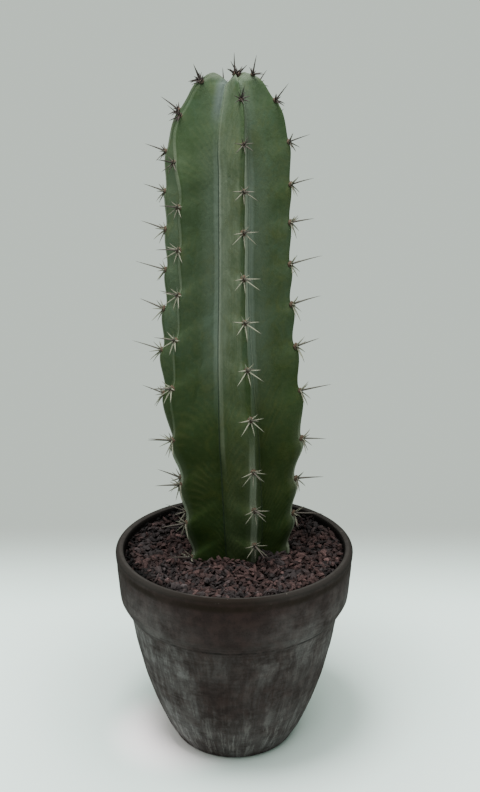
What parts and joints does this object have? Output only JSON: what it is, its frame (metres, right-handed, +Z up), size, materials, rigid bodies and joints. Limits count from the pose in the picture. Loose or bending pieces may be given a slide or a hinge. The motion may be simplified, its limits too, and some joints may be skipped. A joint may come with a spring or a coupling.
{
  "type": "potted stenocereus pruinosus",
  "caption": "Upright ribbed column cactus with felted areoles and star-shaped spines, standing in a round banded clay pot topped with broken lava gravel.",
  "frame": {"origin": "centre of the pot's foot, on the surface that the pot stands on", "axes": "+Z up along the pot's axis; -Y to the front, where the leading rib looks; +X to the right"},
  "size_m": [0.19, 0.19, 0.5468],
  "materials": {
    "washed_clay": "matte",
    "peat_mix": "matte",
    "lava_chips": "matte",
    "cactus_skin": "satin"
  },
  "bodies": {
    "root": {"pot": "washed_clay", "potting_mix": "peat_mix", "lava_gravel": "lava_chips", "cactus_stem": "cactus_skin"}
  },
  "joints": []
}
